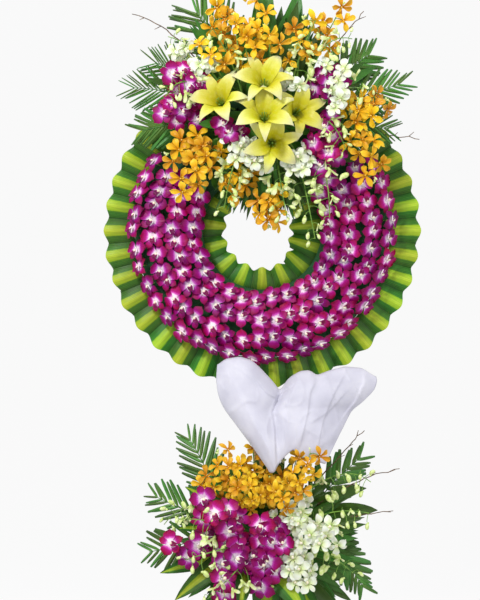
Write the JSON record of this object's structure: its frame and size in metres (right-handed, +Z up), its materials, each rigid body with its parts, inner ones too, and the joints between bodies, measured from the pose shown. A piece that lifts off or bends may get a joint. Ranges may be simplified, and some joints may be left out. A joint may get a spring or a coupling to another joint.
{
  "type": "funeral wreath on a stand",
  "caption": "Standing funeral wreath: a round foam ring dressed with leaves and orchids, sprays of lilies, orchids and palm above and below, a tied white cloth, and a wooden stand.",
  "frame": {"origin": "on the floor, under the front base batten where the two base battens cross", "axes": "+Z up along the mast; the flowers face -Y; +X to the right as seen from the front"},
  "size_m": [0.8, 0.5313, 1.79],
  "materials": {
    "wood": "sawn softwood, dry and matt",
    "foam": "wet green floral foam, fine open cells",
    "striped_leaf": "waxy dark green leaf with a lime stripe, satin",
    "green_leaf": "dark palm leaf, satin",
    "magenta_petal": "soft orchid petal, magenta with a pale centre",
    "orange_petal": "waxy orchid petal, golden orange",
    "yellow_petal": "lily petal, pale yellow with a green throat",
    "white_petal": "soft orchid petal, greenish white",
    "green_bud": "pale green bud, satin",
    "white_cloth": "thin nonwoven cloth, crinkled and slightly translucent"
  },
  "bodies": {
    "root": {"base_batten_front": "wood", "base_batten_side": "wood", "mast": "wood", "crossbar_lower": "wood", "crossbar_upper": "wood", "upright_left": "wood", "upright_right": "wood", "brace_left": "wood", "brace_right": "wood", "lower_shelf": "wood", "shelf_bracket": "wood", "ring_core": "foam", "upper_foam": "foam", "lower_foam": "foam", "outer_leaves_1": "striped_leaf", "outer_leaves_2": "striped_leaf", "outer_leaves_3": "striped_leaf", "outer_leaves_4": "striped_leaf", "outer_leaves_5": "striped_leaf", "inner_leaves_1": "striped_leaf", "inner_leaves_2": "striped_leaf", "inner_leaves_3": "striped_leaf", "inner_leaves_4": "striped_leaf", "inner_leaves_5": "striped_leaf", "leaves_lower_front": "striped_leaf", "ring_orchids_1": "magenta_petal", "ring_orchids_2": "magenta_petal", "ring_orchids_3": "magenta_petal", "ring_orchids_4": "magenta_petal", "ring_orchids_5": "magenta_petal", "purple_left": "magenta_petal", "purple_right": "magenta_petal", "purple_top": "magenta_petal", "purple_lower": "magenta_petal", "lily_1": "yellow_petal", "lily_2": "yellow_petal", "lily_3": "yellow_petal", "lily_4": "yellow_petal", "lily_5": "yellow_petal", "mokara_top_left": "orange_petal", "mokara_top_middle": "orange_petal", "mokara_top_right": "orange_petal", "mokara_left": "orange_petal", "mokara_hanging": "orange_petal", "mokara_right": "orange_petal", "mokara_lower": "orange_petal", "white_low": "white_petal", "white_lower": "white_petal", "palm_top": "green_leaf", "palm_left": "green_leaf", "palm_left_low": "green_leaf", "palm_right": "green_leaf", "palm_right_low": "green_leaf", "palm_lower_left": "green_leaf", "leaves_inner": "green_leaf", "leaves_lower_right": "green_leaf", "buds_top": "green_bud", "buds_hanging": "green_bud", "buds_lower": "green_bud", "mourning_cloth": "white_cloth"}
  },
  "joints": []
}
